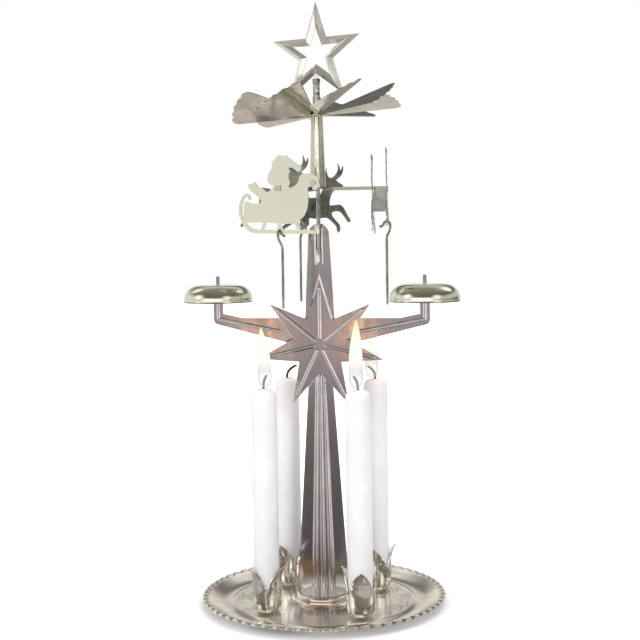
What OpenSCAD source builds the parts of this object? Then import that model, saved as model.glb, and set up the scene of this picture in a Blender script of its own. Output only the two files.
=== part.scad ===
// Candle carousel: a stamped and plated chime that turns in the warm air of four candles.
// Origin: centre of the tray on the table. The pylon stands in the XZ plane and its star faces -Y.

/* [Tray] */
// Diameter over the lobes of the rim
tray_d = 123; // [116:1:140]
// Height of the rim above the table
tray_h = 5; // [4:0.5:8]
// Diameter of the flat foot that the tray stands on
foot_d = 101; // [96:1:108]
// Thickness of the tray's sheet
tray_sheet = 0.5; // [0.4:0.1:0.6]
// Number of lobes round the rim
rim_lobes = 64; // [40:4:72]
// Diameter of the raised platform in the middle
platform_d = 27.6; // [27:0.2:32]
// Height of the platform's top above the table
platform_h = 4.9; // [4:0.1:7]

/* [Cups and candles] */
// Diameter of the circle that the four candles stand on
cup_circle_d = 66.4; // [62:0.2:76]
// Height of the petal tips above the tray's floor
cup_h = 23; // [18:0.5:30]
// Radius of the petal tips
cup_flare_r = 10.3; // [9:0.1:12]
// Width of one petal
petal_w = 11.4; // [11.2:0.1:12.2]
// Thickness of the cups' sheet
cup_sheet = 0.45; // [0.3:0.05:0.5]
// Diameter of a candle
candle_d = 12.5; // [11:0.1:13]
// Height of the candle tops above the table
candle_top = 111; // [80:1:114]
// How far a wick stands out of its candle
wick_l = 6.5; // [4:0.5:7]
// Thickness of a wick
wick_d = 1.3; // [1:0.1:1.6]

/* [Pylon] */
// Height of the pylon's rounded top above the table
pylon_top = 191; // [188:1:194]
// Thickness of the pylon's sheet
pylon_sheet = 0.6; // [0.4:0.1:0.8]
// Width of the pylon's foot
pylon_foot_w = 26.8; // [24:0.2:27]
// Width of the pylon just under its star
pylon_waist_w = 10.2; // [9:0.2:13]
// Width of the pylon just above its star
pylon_neck_w = 15; // [13:0.2:18]
// Width of the pylon's rounded top
pylon_top_w = 10.4; // [9:0.2:12]
// Height of the middle of the star
star_z = 130.5; // [128:0.5:132]
// Radius of the star's points
star_r = 33; // [26:0.5:33.5]
// Radius of the star's notches
star_notch_r = 13.8; // [12:0.1:15]
// Number of points on the star
star_points = 7; // [7:2:9]
// Width of a pressed rib
rib_w = 2; // [1.4:0.1:2.4]
// Width of the arm where it turns up to the bell
stub_w = 4.9; // [4:0.1:6]

/* [Bells] */
// Distance from the pylon's middle to a bell's middle
bell_x = 53; // [53:0.5:60]
// Diameter of a bell at its rim
bell_d = 35.1; // [30:0.1:35.2]
// Height of a bell
bell_h = 8.7; // [7:0.1:12]
// Thickness of a bell's wall
bell_wall = 0.6; // [0.4:0.1:0.8]
// Height of a bell's rim above the table
bell_rim_z = 152; // [152:0.5:156]

/* [Turning part] */
// Diameter of the needle that everything turns on
needle_d = 2; // [1.6:0.1:2.2]
// Height of the needle's point
needle_tip_z = 250.8; // [250:0.1:251.2]
// Height of the arms' upper side
spider_z = 209; // [207:0.5:211]
// Height of the fan's underside
fan_z = 244; // [240:0.5:245]
// Diameter of the tube at its lower end
tube_low_d = 7.9; // [7.2:0.1:9]
// Diameter of the tube at its upper end
tube_high_d = 5.8; // [5.6:0.1:6.6]
// Radius of the fan
fan_r = 42; // [36:0.5:48]
// Number of blades on the fan
fan_blades = 8; // [6:1:10]
// Slope of a blade
blade_pitch = 25; // [15:1:32]
// Turn of the carousel at rest
rotor_turn = 8; // [0:0.5:12]
// Width of a carousel arm
arm_w = 2.2; // [2:0.1:2.6]
// Thickness of the figures' sheet
figure_sheet = 0.5; // [0.3:0.1:0.5]
// Distance from the axis to the sleigh
sleigh_r = 33; // [32:0.1:34]
// Distance from the axis to the middle of a reindeer pair
pair_r = 31; // [30:0.1:32]
// Distance between the two sheets of a reindeer pair
pair_gap = 6.4; // [5:0.1:7]
// Length of the sleigh
sleigh_l = 48; // [42:1:52]
// Length that the reindeer outline is drawn to
deer_l = 40; // [36:1:42]
// Diameter of a striker's wire
striker_d = 1.3; // [1:0.1:1.4]
// Distance from the axis to a hanging striker
striker_r = 34; // [33:0.1:34.2]
// Height of a striker's lower end
striker_low_z = 150.5; // [148:0.5:151]

/* [Top star] */
// Radius of the top star's points
top_star_r = 25.2; // [20:0.1:26]
// Height of the top star's middle
top_star_z = 274.7; // [274:0.1:280]
// Width of the top star's limbs
limb_w = 3.7; // [3:0.1:4.4]
// Depth of the fold along the limbs
limb_fold = 1.5; // [0.8:0.1:2]
// Turn of the top star about its stem
top_star_turn = -14; // [-60:1:60]

/* [Hidden] */
$fn = 64;

// Overrun of a cut past the face that it leaves by
cut = 0.5;
// Running gap round a part that turns, and slip gap round a part that is pushed in
run_gap = 0.06;
slip_gap = 0.1;

// Tray: the floor is pressed up a little so that rivet heads clear the table
floor_lift = 0.5;
foot_ring_w = 3;
foot_slope_w = 1;
rim_flat_w = 2.4;
platform_round = 1.2;
lobe_r = 3.3;
floor_z = floor_lift + tray_sheet;
tray_r = tray_d / 2;
foot_r = foot_d / 2;
platform_r = platform_d / 2;
rim_in_r = tray_r - rim_flat_w;
arc_steps = 6;

// Cups: each stands on a small flat base and is held by one rivet
cup_base_r = 5;
cup_grip_r = candle_d / 2 + slip_gap;
cup_grip_z = 2.4;
cup_belly_r = cup_grip_r + cup_sheet;
cup_belly_share = 0.6;
petal_side_share = 0.48;
rivet_r = 1;
rivet_head_r = 2;
rivet_head_h = 0.8;
rivet_clench_h = 0.4;
cup_x = cup_circle_d / 2 * cos(45);
candle_z = floor_z + cup_grip_z + slip_gap;
candle_shoulder = 4.2;
candle_tip_r = 2.2;
wick_depth = 4;
wick_sides = 8;

// Pylon: heights and half widths of its cross outline
pylon_arm_z = 143.9;
pylon_arm_drop = 15.3;
arm_kink_x = 40.5;
elbow_z = pylon_arm_z + 2.1;
elbow_round = 2.6;
elbow_low_z = pylon_arm_z - 3.3;
tongue_w = 1.8;
tongue_l = 4.4;
stub_shoulder_z = bell_rim_z + bell_h - bell_wall - run_gap;
star_step_w = 0.8;
rib_rise = 0.55;
star_rib_in_r = 3.4;
star_rib_out_share = 0.85;
arm_rib_end_x = 20.6;
arm_rib_end_z = pylon_arm_z - 6.6;
arm_rib_elbow_z = pylon_arm_z - 0.5;
arm_rib_top_z = bell_rim_z + 6;
flute_foot_w = 4.1;
flute_rise = 1.3;
flute_apex_z = 197.7;
flute_pitch = 4.3;
tab_w = 4;
tab_x = 9.4;
tab_fold = 2;
pocket_z = 170.5;
loop_low_z = 177.8;
loop_high_z = 186;
loop_r = 1.6;
front_y = -pylon_sheet / 2;
star_front_y = front_y - pylon_sheet;
star_edge_d = edge_distance(star_points, star_r, star_notch_r);
star_grow = 1 + star_step_w / star_edge_d;
star_shrink = 1 - 2 * star_step_w / star_edge_d;

// Bells: a flat crown, a rounded shoulder and a slightly flared side
bell_r = bell_d / 2;
bell_crown_share = 0.42;
bell_side_share = 0.17;
bell_flare = 0.25;
bell_hole_r = norm([tongue_w / 2, pylon_sheet / 2]) + run_gap;

// Turning part
needle_r = needle_d / 2;
needle_point_l = 3.5;
needle_point_r = 0.1;
tube_wall = 0.4;
tube_seam_w = 0.25;
claw_w = 1.6;
claw_l = 1.5;
claws = 3;
fan_sheet = 0.4;
fan_hub_r = 6;
blade_root_r = 2.6;
blade_gap_angle = 1.5;
blade_lobes = 5;
blade_lobe_r = 3.7;
fan_turn = 8;
blade_lean = 4.5;
spider_sheet = 0.6;
spider_hub_r = 5.6;
arm_h = 1.6;
arm_sheet = 0.5;
arm_root_r = 4.4;
arm_tab_w = 3;
arm_tab_h = 2.6;
tongue_slim_w = 1.8;
ferrule_r = 2;
ferrule_neck_r = 1.7;
ferrule_collar_r = 1.95;
ferrule_body_h = 9.1;
ferrule_neck_h = 6.5;
ferrule_collar_h = 2.3;
ferrule_spigot_l = 3;
ferrule_bore_r = 1.25;
bearing_h = 2;
bearing_dimple_h = 0.85;
star_stem_w = 2.2;
star_stem_sheet = 0.5;
star_stem_depth = 5;
fan_top_z = fan_z + fan_sheet;
ferrule_top_z = fan_top_z + ferrule_body_h + ferrule_neck_h + ferrule_collar_h;
bearing_z = needle_tip_z + run_gap - bearing_dimple_h;

// Figures: heights are taken from the upper side of the arms
sleigh_mid_z = spider_z - 2.6;
striker_hole_r = 0.95;
striker_eye_r = 2.1;
striker_sweep = 1.65;
striker_end = 1.9;
striker_leg = 1.2;
striker_kink = 2;
striker_kink_l = 5.5;
striker_sides = 10;
sleigh_eye_z = spider_z - 21.4;
pair_eye_z = spider_z - 17.6;
sleigh_eye_x = -0.6;
pair_eye_x = 7.3;
deer_belly_z = spider_z - 14.7;
rear_deer_rise = 4.5;
front_deer_x = 1.2;
rear_deer_x = -16;
joggle_drop = 12.5;
outline_steps = 3;

// Lower side of a carousel arm, and the inner and outer sheets of a pair
arm_low_z = spider_z - arm_h;
pair_in_r = pair_r - pair_gap / 2;
pair_out_r = pair_r + pair_gap / 2;

// Turn of each cup's first petal
front_right_turn = 283.5;
front_left_turn = 223.5;
back_right_turn = 23.5;
back_left_turn = 251.5;

// Sleigh with its seated figure, in hundredths of its length, facing +X: up the front of the body,
// over the figure, down the rearmost strut, round the runner and back along its curl
sleigh_shares = [[44.3, -28.2], [43.8, -21], [43, -12], [40.5, -9], [36, -10.8], [29, -11.5],
    [22, -11], [22.5, -7], [29.5, -2], [35, 2], [37.5, 6.5], [35.5, 8.6], [33, 8], [30.5, 9.8],
    [28, 9], [26, 5.8], [19.5, 3.2], [13.5, -0.6], [9, 1.8], [5.5, 5.4], [10, 7], [13, 11],
    [11.5, 17], [8, 22], [6.6, 26], [7.4, 28], [4.5, 31], [0.5, 34.5], [-3, 35.2], [-8, 34],
    [-14.5, 31.5], [-19, 28], [-23, 25.8], [-28, 23.4], [-28.6, 20.6], [-26, 17.8], [-23, 18.6],
    [-19.5, 21.4], [-13.8, 22.4], [-13.6, 18], [-13, 12.4], [-14.6, 8], [-13, 4.6], [-14.4, 2.2],
    [-20.5, 4.4], [-24.6, 8], [-26, 12], [-27.5, 14.4], [-34.5, 15.8], [-41, 15.6], [-46, 13],
    [-49.2, 9.4], [-49.4, 5.4], [-47.6, 1.6], [-44, -0.8], [-41.6, 0.4], [-42.2, 2.8],
    [-45.2, 4.6], [-45.6, 7.6], [-42.6, 9.6], [-39, 8.2], [-37, 4], [-35.8, 0], [-36.4, -6],
    [-36, -12], [-34.4, -18.5], [-32, -23.6], [-28, -27.6], [-23.8, -30.4], [-24.6, -34],
    [-26.6, -38.2], [-32, -39.1], [-42.6, -39.4], [-45, -40.6], [-44.6, -42.6], [-41, -43],
    [-32, -42.8], [-20, -42.5], [-7, -42.2], [6, -41.9], [18, -41.7], [28, -41.3], [35.7, -39.8],
    [41.2, -36.5], [45.8, -31.5], [49, -24.5], [50, -17.6], [48.8, -10.9], [45.7, -4.6],
    [40.8, -1.2], [36.6, -2.9], [34.3, -6.4], [36.7, -8], [38.6, -5.1], [40, -4.4], [43.1, -6.6],
    [45.6, -11.9], [46.4, -17.6], [45.9, -23.5]];
// Three windows between body, struts and runner
window_shares = [[[19.6, -30.6], [40.8, -30.4], [38.8, -33.5], [34.3, -36.2], [27.4, -37.5],
        [22.2, -37.7]],
    [[1.2, -32], [15.8, -30.8], [18.8, -37.8], [2.4, -38.2]],
    [[-19.4, -32.6], [-2.4, -32.6], [-1.6, -38.3], [-22.6, -38.7]]];

// Leaping reindeer, in hundredths of the length that it is drawn to, facing +X, from its belly up
deer_shares = [[-4, 24], [0, 28.5], [6, 28.5], [16, 26.5], [27, 27], [33, 31.5], [37, 39], [39, 45],
    [36, 48.5], [41, 49.5], [36.5, 56], [34, 63], [35.5, 71], [37.4, 64.5], [40.4, 60], [42.6, 66],
    [42.6, 59.6], [45.4, 53.6], [50.6, 53], [56.4, 58], [59, 64.6], [58.4, 72], [61.6, 66],
    [63, 62.4], [66.4, 68.4], [66.2, 61], [62, 54], [56.4, 49.8], [60, 46.5], [65.4, 43.4],
    [66, 40.2], [62, 38.4], [54.5, 36.6], [49.4, 31.6], [46.8, 24], [46.4, 17], [53, 17],
    [61, 17.4], [66.4, 13.6], [72, 4], [76.6, -3.4], [73, -5.6], [66.8, 2.4], [60.4, 8.4],
    [50.6, 8], [49.6, 3.2], [55.6, -4], [60.4, -9], [61, -16.4], [58.4, -19.2], [56.4, -16],
    [55.4, -11], [49, -4.8], [41, 0.4], [28, -1], [17, 0], [16, -4.6], [15.6, -9], [9, -13.6],
    [2, -18], [0.4, -15], [6, -10.4], [8, -7], [4, -3], [-2.6, -5], [-11, -9], [-20.6, -15],
    [-28.6, -21.6], [-30, -18], [-22.6, -11], [-13.6, -4], [-6, 4], [-3.6, 13.6]];

// Distance from the middle of a star to the line of its edges
function edge_distance(n, tip, notch) =
    tip * notch * sin(180 / n) / norm([tip - notch * cos(180 / n), notch * sin(180 / n)]);

// Corners of a star with n points, scaled by grow
function star_corners(n, tip, notch, grow) =
    [for (i = [0 : 2 * n - 1])
        let (r = (i % 2 == 0 ? tip : notch) * grow, a = 90 + i * 180 / n)
        [r * cos(a), r * sin(a)]];

// Points on an arc with half axes rx and ry
function arc_points(cx, cy, rx, ry, from, to, steps) =
    [for (i = [0 : steps])
        let (a = from + (to - from) * i / steps)
        [cx + rx * cos(a), cy + ry * sin(a)]];

// Smooth closed outline through a list of points
function spline_point(a, b, c, d, t) =
    (2 * b + (c - a) * t + (2 * a - 5 * b + 4 * c - d) * t * t
        + (3 * b - a - 3 * c + d) * t * t * t) / 2;
function smooth_outline(p, steps) =
    [for (i = [0 : len(p) - 1])
        for (j = [0 : steps - 1])
            let (n = len(p))
            spline_point(p[(i + n - 1) % n], p[i], p[(i + 1) % n], p[(i + 2) % n], j / steps)];

// Rings of points round a path, and the solid that they close
function unit(v) = v / norm(v);
function path_direction(p, i) = unit(p[min(i + 1, len(p) - 1)] - p[max(i - 1, 0)]);
function ring_points(c, dir, side, r, sides) =
    let (u = unit(cross(side, dir)), v = cross(dir, u))
    [for (k = [0 : sides - 1]) c + r * (cos(360 * k / sides) * u + sin(360 * k / sides) * v)];
module wire(path, r, sides, side = [0, 1, 0]) {
    last = len(path) - 1;
    points = [for (i = [0 : last])
        each ring_points(path[i], path_direction(path, i), side, r[i], sides)];
    walls = [for (i = [0 : last - 1])
        for (k = [0 : sides - 1])
            let (a = i * sides + k, b = i * sides + (k + 1) % sides)
            each [[a, a + sides, b], [b, a + sides, b + sides]]];
    low_end = [for (k = [0 : sides - 1]) k];
    high_end = [for (k = [sides - 1 : -1 : 0]) last * sides + k];
    polyhedron(points, concat([low_end], walls, [high_end]));
}

// Straight round bar between two points
module bar(a, b, ra, rb) {
    v = b - a;
    translate(a)
        rotate([0, acos(v[2] / norm(v)), atan2(v[1], v[0])])
            cylinder(h = norm(v), r1 = ra, r2 = rb);
}

// Stands a flat outline up in the XZ plane, from y0 back to y1
module upright(y0, y1) {
    translate([0, y1, 0])
        rotate([90, 0, 0])
            linear_extrude(y1 - y0)
                children();
}

// Stands a flat outline square to a carousel arm, with its own +X along the travel
module on_arm(index, r, thick) {
    rotate([0, 0, rotor_turn + 120 * index])
        translate([r - thick / 2, 0, 0])
            rotate([90, 0, 90])
                linear_extrude(thick)
                    mirror([1, 0])
                        children();
}

module tray() {
    wall_r = (pow(rim_in_r - foot_r, 2) + pow(tray_h - 2 * tray_sheet, 2))
        / (2 * (tray_h - 2 * tray_sheet));
    wall_angle = asin((rim_in_r - foot_r) / wall_r);
    hollow_r = platform_r - tray_sheet;
    upper = concat(
        [[0, platform_h]],
        arc_points(platform_r - platform_round, platform_h - platform_round,
            platform_round, platform_round, 90, 0, arc_steps),
        [[platform_r, floor_z], [foot_r - foot_ring_w - foot_slope_w, floor_z],
            [foot_r - foot_ring_w, tray_sheet]],
        arc_points(foot_r, tray_sheet + wall_r, wall_r, wall_r, -90, wall_angle - 90, arc_steps),
        [[rim_in_r + tray_sheet, tray_h], [tray_r, tray_h]]);
    lower = concat(
        [[tray_r, tray_h - tray_sheet], [rim_in_r + tray_sheet, tray_h - tray_sheet]],
        arc_points(foot_r, wall_r, wall_r, wall_r, wall_angle - 90, -90, arc_steps),
        [[foot_r - foot_ring_w - tray_sheet / 2, 0],
            [foot_r - foot_ring_w - foot_slope_w - tray_sheet / 2, floor_lift],
            [hollow_r, floor_lift]],
        arc_points(platform_r - platform_round, platform_h - platform_round,
            platform_round - tray_sheet, platform_round - tray_sheet, 0, 90, arc_steps),
        [[0, platform_h - tray_sheet]]);
    color([0.75, 0.73, 0.69])
        difference() {
            intersection() {
                rotate_extrude($fn = 128) polygon(concat(upper, lower));
                translate([0, 0, -cut])
                    linear_extrude(tray_h + platform_h + 2 * cut)
                        rim_outline();
            }
            for (x = [-1, 1])
                translate([x * tab_x - tab_w / 2 - slip_gap, front_y - slip_gap, floor_z])
                    cube([tab_w + 2 * slip_gap, pylon_sheet + 2 * slip_gap, platform_h]);
            for (x = [-1, 1])
                for (y = [-1, 1])
                    translate([x * cup_x, y * cup_x, -cut])
                        cylinder(h = floor_z + 2 * cut, r = rivet_r);
        }
}

module rim_outline() {
    circle(r = tray_r - lobe_r / 2, $fn = 128);
    for (i = [0 : rim_lobes - 1])
        rotate((i + 0.5) * 360 / rim_lobes)
            translate([tray_r - lobe_r, 0])
                circle(r = lobe_r, $fn = 24);
}

// One cup with three petals, standing on its own base at z = 0
module cup_shape() {
    inner = concat(
        [[0, cup_sheet], [cup_base_r - cup_sheet, cup_sheet],
            [cup_grip_r - cup_sheet, cup_grip_z - cup_sheet], [cup_grip_r, cup_grip_z]],
        arc_points(cup_grip_r, cup_h * cup_belly_share, cup_sheet, cup_h * cup_belly_share
            - cup_grip_z, -60, 0, arc_steps),
        arc_points(cup_flare_r + cup_sheet, cup_h * cup_belly_share,
            cup_flare_r - cup_grip_r, cup_h * (1 - cup_belly_share), 165, 100, arc_steps));
    outer = [for (i = [len(inner) - 1 : -1 : 2])
        [inner[i][0] + cup_sheet, inner[i][1] - (i < 4 ? cup_sheet / 2 : 0)]];
    intersection() {
        rotate_extrude() polygon(concat(inner, outer, [[cup_base_r, 0], [0, 0]]));
        union() {
            for (k = [0 : 2])
                rotate([0, 0, 120 * k])
                    rotate([90, 0, 90])
                        linear_extrude(2 * cup_flare_r)
                            petal_outline();
        }
    }
}

module petal_outline() {
    side_h = cup_h * petal_side_share;
    arch_h = cup_h - side_h;
    arch_off = (arch_h * arch_h - petal_w * petal_w / 4) / petal_w;
    translate([-petal_w / 2, -cut])
        square([petal_w, side_h + cut]);
    intersection() {
        translate([-arch_off, side_h])
            circle(r = petal_w / 2 + arch_off);
        translate([arch_off, side_h])
            circle(r = petal_w / 2 + arch_off);
        translate([-petal_w / 2, side_h - cut])
            square([petal_w, arch_h + cut]);
    }
}

module cup(sign_x, sign_y, turn) {
    color([0.78, 0.77, 0.72])
        translate([sign_x * cup_x, sign_y * cup_x, floor_z])
            difference() {
                rotate([0, 0, turn]) cup_shape();
                translate([0, 0, -cut])
                    cylinder(h = cup_sheet + 2 * cut, r = rivet_r);
            }
}
module cup_front_right() { cup(1, -1, front_right_turn); }
module cup_front_left() { cup(-1, -1, front_left_turn); }
module cup_back_right() { cup(1, 1, back_right_turn); }
module cup_back_left() { cup(-1, 1, back_left_turn); }

module cup_rivets() {
    head_z = floor_z + cup_sheet;
    profile = concat(
        [[0, floor_lift - rivet_clench_h], [rivet_head_r, floor_lift - rivet_clench_h],
            [rivet_head_r, floor_lift], [rivet_r, floor_lift], [rivet_r, head_z]],
        arc_points(0, head_z, rivet_head_r, rivet_head_h, 0, 90, arc_steps));
    color([0.7, 0.7, 0.68])
        for (x = [-1, 1])
            for (y = [-1, 1])
                translate([x * cup_x, y * cup_x, 0])
                    rotate_extrude($fn = 32) polygon(profile);
}

module candle(sign_x, sign_y) {
    profile = concat(
        [[0, candle_z], [candle_d / 2, candle_z]],
        arc_points(candle_tip_r, candle_top - candle_shoulder,
            candle_d / 2 - candle_tip_r, candle_shoulder, 0, 90, arc_steps),
        [[0, candle_top]]);
    color([0.97, 0.97, 0.96])
        translate([sign_x * cup_x, sign_y * cup_x, 0])
            difference() {
                rotate_extrude() polygon(profile);
                translate([0, 0, candle_top - wick_depth])
                    cylinder(h = wick_depth + cut, r = wick_d / 2 + slip_gap, $fn = 24);
            }
}
module candle_front_right() { candle(1, -1); }
module candle_front_left() { candle(-1, -1); }
module candle_back_right() { candle(1, 1); }
module candle_back_left() { candle(-1, 1); }

// A wick stands straight in its candle and bends over at its burnt end
module wick(sign_x, sign_y, turn, bend_share) {
    rise_shares = [0, 0.25, 0.5, 0.75, 0.92, 1];
    lean_shares = [0, 0, 0.12, 0.42, 0.75, 1];
    path = concat(
        [[0, 0, -wick_depth]],
        [for (i = [0 : len(rise_shares) - 1])
            wick_l * [lean_shares[i] * bend_share, 0, rise_shares[i]]]);
    r = [for (i = [0 : len(path) - 1]) wick_d / 2 * (i == len(path) - 1 ? 0.6 : 1)];
    color([0.25, 0.2, 0.17])
        translate([sign_x * cup_x, sign_y * cup_x, candle_top])
            rotate([0, 0, turn])
                wire(path, r, wick_sides);
}
module wick_front_right() { wick(1, -1, 200, 0.35); }
module wick_front_left() { wick(-1, -1, 30, 0.3); }
module wick_back_right() { wick(1, 1, 190, 0.6); }
module wick_back_left() { wick(-1, 1, 15, 0.8); }

// Right half of the cross outline, from the middle of the top round to the middle of the foot
function cross_half() = concat(
    arc_points(0, pylon_top - pylon_top_w / 2, pylon_top_w / 2, pylon_top_w / 2, 90, 0, arc_steps),
    [[pylon_neck_w / 2, pylon_arm_z], [arm_kink_x, pylon_arm_z],
        [bell_x - stub_w / 2, elbow_z], [bell_x - stub_w / 2, stub_shoulder_z],
        [bell_x - tongue_w / 2, stub_shoulder_z]],
    arc_points(bell_x, stub_shoulder_z + tongue_l, tongue_w / 2, tongue_w / 2, 180, 0, arc_steps),
    [[bell_x + tongue_w / 2, stub_shoulder_z], [bell_x + stub_w / 2, stub_shoulder_z]],
    arc_points(bell_x + stub_w / 2 - elbow_round, elbow_low_z + elbow_round,
        elbow_round, elbow_round, 0, -75, arc_steps),
    [[pylon_waist_w / 2, pylon_arm_z - pylon_arm_drop], [pylon_foot_w / 2, platform_h]]);

module cross_outline() {
    half = cross_half();
    other = [for (i = [len(half) - 1 : -1 : 1]) [-half[i][0], half[i][1]]];
    polygon(concat(half, other));
}

module star_outline(grow) {
    translate([0, star_z])
        polygon(star_corners(star_points, star_r, star_notch_r, grow));
}

// The step that lifts the star out of the cross
module star_step() {
    intersection() {
        upright(star_front_y, front_y) cross_outline();
        translate([0, front_y, star_z])
            rotate([90, 0, 0])
                linear_extrude(pylon_sheet, scale = 1 / star_grow)
                    polygon(star_corners(star_points, star_r, star_notch_r, star_grow));
    }
}

// Round bead with closed ends, lying in a sheet whose face is at y
module bead(a, b, y) {
    r = bead_r();
    length = norm(b - a);
    profile = concat(
        arc_points(0, 0, r, r, -90, 0, arc_steps),
        arc_points(0, length, r, r, 0, 90, arc_steps));
    v = b - a;
    translate([a[0], y + r - rib_rise, a[1]])
        rotate([0, atan2(v[0], v[1]), 0])
            rotate_extrude($fn = 32) polygon(profile);
}
function bead_r() = (rib_w * rib_w / 4 + rib_rise * rib_rise) / (2 * rib_rise);

module star_ribs(y) {
    for (i = [0 : star_points - 1])
        let (a = 90 + 360 * i / star_points, dir = [cos(a), sin(a)], mid = [0, star_z])
            bead(mid + star_rib_in_r * dir, mid + star_rib_out_share * star_r * dir, y);
}

module arm_ribs(y) {
    r = bead_r();
    elbow_y = y + r - rib_rise;
    for (side = [-1, 1]) {
        bar([side * bell_x, elbow_y, arm_rib_elbow_z],
            [side * bell_x, elbow_y, arm_rib_top_z], r, r);
        bar([side * bell_x, elbow_y, arm_rib_elbow_z],
            [side * arm_rib_end_x, elbow_y, arm_rib_end_z], r, r);
        translate([side * bell_x, elbow_y, arm_rib_elbow_z])
            sphere(r = 1.02 * r);
    }
}

// Three flutes that narrow towards one point above the pylon
module flutes(y) {
    back = (flute_foot_w * flute_foot_w / 4 - flute_rise * flute_rise) / (2 * flute_rise);
    foot_r = back + flute_rise;
    reach = flute_apex_z - platform_h;
    top_share = (flute_apex_z - star_z + star_notch_r) / reach;
    low_share = (reach + cut) / reach;
    for (k = [-1 : 1]) {
        apex = [0, y, flute_apex_z];
        run = [k * flute_pitch, back, -reach];
        bar(apex + low_share * run, apex + top_share * run, foot_r * low_share, foot_r * top_share);
    }
}

// Half-round loops lanced out of the sheet, one backwards between two forwards
module loop_walls() {
    seat = loop_r - needle_r - run_gap;
    outer_r = loop_r + pylon_sheet;
    difference() {
        intersection() {
            translate([0, -seat, loop_low_z])
                cylinder(h = loop_high_z - loop_low_z, r = outer_r);
            translate([-outer_r, front_y, loop_low_z])
                cube([2 * outer_r, outer_r, pylon_top]);
        }
        translate([0, -seat, loop_low_z - cut])
            cylinder(h = loop_high_z - loop_low_z + 2 * cut, r = loop_r);
    }
    for (z = [[pocket_z, loop_low_z], [loop_high_z, pylon_top - slip_gap]])
        difference() {
            intersection() {
                translate([0, seat, z[0]])
                    cylinder(h = z[1] - z[0], r = outer_r);
                translate([-outer_r, seat - outer_r, z[0]])
                    cube([2 * outer_r, outer_r - seat + pylon_sheet / 2, pylon_top]);
            }
            translate([0, seat, z[0] - cut])
                cylinder(h = z[1] - z[0] + 2 * cut, r = loop_r);
        }
}

module pylon_tabs() {
    for (side = [-1, 1]) {
        translate([side * tab_x - tab_w / 2, front_y, platform_h - tray_sheet - pylon_sheet])
            cube([tab_w, pylon_sheet, tray_sheet + 2 * pylon_sheet]);
        translate([side * tab_x - tab_w / 2, front_y, platform_h - tray_sheet - pylon_sheet])
            cube([tab_w, tab_fold, pylon_sheet]);
    }
}

module pylon() {
    color([0.55, 0.52, 0.53])
        union() {
            difference() {
                union() {
                    upright(front_y, -front_y) cross_outline();
                    upright(star_front_y, front_y) star_outline(1);
                    star_step();
                    front_half(front_y) arm_ribs(front_y);
                    front_half(star_front_y) star_ribs(star_front_y);
                    front_half(front_y) flutes(front_y);
                }
                upright(front_y, -front_y + cut) star_outline(star_shrink);
                intersection() {
                    translate([0, pylon_sheet, 0]) flutes(front_y);
                    translate([-pylon_foot_w, -pylon_foot_w, 0])
                        cube([2 * pylon_foot_w, 2 * pylon_foot_w, star_z - star_notch_r
                            * star_grow - pylon_sheet]);
                }
                translate([0, pylon_sheet, 0]) star_ribs(star_front_y);
                translate([-loop_r, front_y - cut, pocket_z])
                    cube([2 * loop_r, pylon_sheet + 2 * cut, pylon_top]);
            }
            loop_walls();
            pylon_tabs();
        }
}

// Keeps what lies in front of the plane at y and above the platform
module front_half(y) {
    intersection() {
        children();
        translate([-bell_x - stub_w, y - bell_x, platform_h])
            cube([2 * (bell_x + stub_w), bell_x, pylon_top]);
    }
}

module needle() {
    color([0.72, 0.72, 0.74])
        rotate_extrude($fn = 48)
            polygon([[0, pocket_z], [needle_r, pocket_z], [needle_r, needle_tip_z - needle_point_l],
                [needle_point_r, needle_tip_z], [0, needle_tip_z]]);
}

module bell(side) {
    crown_r = bell_r * bell_crown_share;
    side_h = bell_h * bell_side_share;
    shoulder_r = bell_r - bell_flare - crown_r;
    outer = concat(
        [[bell_r, 0]],
        arc_points(crown_r, side_h, shoulder_r, bell_h - side_h, 0, 90, 2 * arc_steps),
        [[bell_hole_r, bell_h]]);
    inner = concat(
        [[bell_hole_r, bell_h - bell_wall]],
        arc_points(crown_r, side_h, shoulder_r - bell_wall, bell_h - side_h - bell_wall,
            90, 0, 2 * arc_steps),
        [[bell_r - bell_wall, 0]]);
    color([0.74, 0.73, 0.66])
        translate([side * bell_x, 0, bell_rim_z])
            rotate_extrude($fn = 96) polygon(concat(outer, inner));
}
module bell_right() { bell(1); }
module bell_left() { bell(-1); }

// Three folded tabs at one end of the tube, up through the sheet above it or down through the one below
module tube_claws(r, sheet, sign) {
    for (k = [0 : claws - 1])
        rotate([0, 0, 360 * k / claws + 60 / 2])
            mirror([0, 0, sign < 0 ? 1 : 0]) {
                translate([r - tube_wall, -claw_w / 2, -tube_wall])
                    cube([tube_wall, claw_w, sheet + 2 * tube_wall]);
                translate([r - tube_wall, -claw_w / 2, sheet])
                    cube([claw_l, claw_w, tube_wall]);
            }
}

module rotor_tube() {
    low_r = tube_low_d / 2;
    high_r = tube_high_d / 2;
    color([0.8, 0.79, 0.72]) {
        difference() {
            rotate_extrude($fn = 64)
                polygon([[low_r - tube_wall, spider_z], [low_r, spider_z], [high_r, fan_z],
                    [high_r - tube_wall, fan_z]]);
            rotate([0, 0, rotor_turn - 70])
                translate([0, -tube_seam_w / 2, spider_z - cut])
                    cube([low_r + cut, tube_seam_w, fan_z - spider_z + 2 * cut]);
        }
        translate([0, 0, fan_z]) tube_claws(high_r, fan_sheet, 1);
        translate([0, 0, spider_z]) tube_claws(low_r, spider_sheet, -1);
    }
}

// Slots that a tube's claws pass through
module claw_slots(r, sheet) {
    for (k = [0 : claws - 1])
        rotate([0, 0, 360 * k / claws + 60 / 2])
            translate([r - tube_wall - slip_gap / 2, -claw_w / 2 - slip_gap / 2, -cut])
                cube([tube_wall + slip_gap, claw_w + slip_gap, sheet + 2 * cut]);
}

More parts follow.
